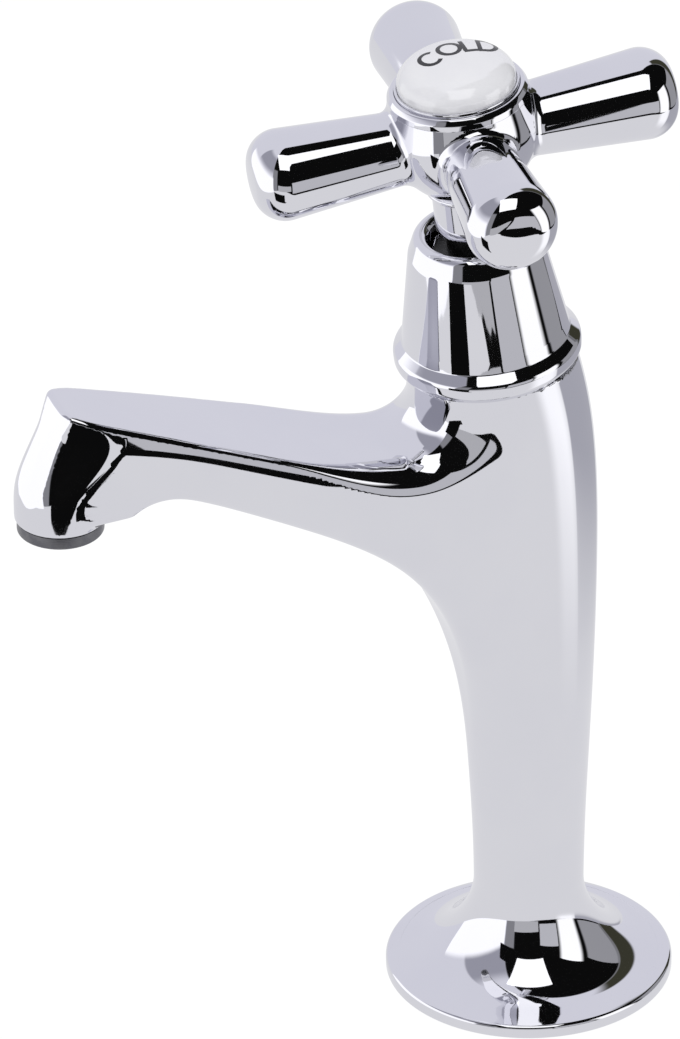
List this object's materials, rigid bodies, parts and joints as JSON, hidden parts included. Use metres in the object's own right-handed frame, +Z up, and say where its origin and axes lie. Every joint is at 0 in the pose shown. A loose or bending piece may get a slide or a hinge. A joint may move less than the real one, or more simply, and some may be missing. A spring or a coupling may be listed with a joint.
{
  "type": "cross handle basin tap",
  "caption": "High-neck chrome pillar tap with a curved one-piece body and spout, a bell cover, a cross handle and a white domed index insert.",
  "frame": {"origin": "centre of the flange's underside, on the deck's top face and on the axis of the tail", "axes": "+Z up along the column, away from the deck; the spout points to -Y; +X is to the right seen from the front"},
  "size_m": [0.0788, 0.1258, 0.2467],
  "materials": {
    "plated_body": "polished chrome plate on brass",
    "dark_metal": "dark plated metal",
    "turned_brass": "turned brass",
    "spring_steel": "stainless spring steel",
    "soft_seal": "matt black rubber",
    "fibre": "red vulcanised fibre",
    "white_moulding": "white moulded plastic",
    "grey_moulding": "grey moulded plastic",
    "black_moulding": "black moulded plastic",
    "white_glaze": "glossy white glaze"
  },
  "bodies": {
    "tap": {"tap_body": "plated_body", "inlet_tail": "turned_brass", "base_washer": "soft_seal", "strap_washer": "white_moulding", "fibre_washer": "fibre", "backnut": "turned_brass", "outlet_nozzle": "dark_metal", "nozzle_seal": "soft_seal", "flow_guide": "grey_moulding", "headwork_body": "turned_brass", "headwork_seal": "soft_seal", "bell_cover": "plated_body", "cover_nut": "dark_metal", "thrust_washer": "grey_moulding"},
    "handle": {"spindle": "turned_brass", "spindle_o_rings": "soft_seal", "spindle_circlip": "spring_steel", "spindle_sleeve": "black_moulding", "cross_handle": "plated_body", "lock_washer": "spring_steel", "handle_screw": "turned_brass", "index_cup": "plated_body", "index_insert": "white_glaze"},
    "plunger": {"jumper": "turned_brass", "seat_washer": "soft_seal", "washer_nut": "turned_brass"}
  },
  "joints": [
    {"name": "handle_turn", "type": "hinge", "parent": "tap", "child": "handle", "pos_m": [0, -0.00743, 0.1313], "axis": [0, -0.1028, 0.9947], "range_deg": [0, 900]},
    {"name": "plunger_lift", "type": "slide", "parent": "tap", "child": "plunger", "axis": [0, -0.1028, 0.9947], "range_m": [0, 0.005]}
  ],
  "couplings": [
    {"joint": "plunger_lift", "follows": "handle_turn", "m_per_rad": 0.0003183}
  ]
}
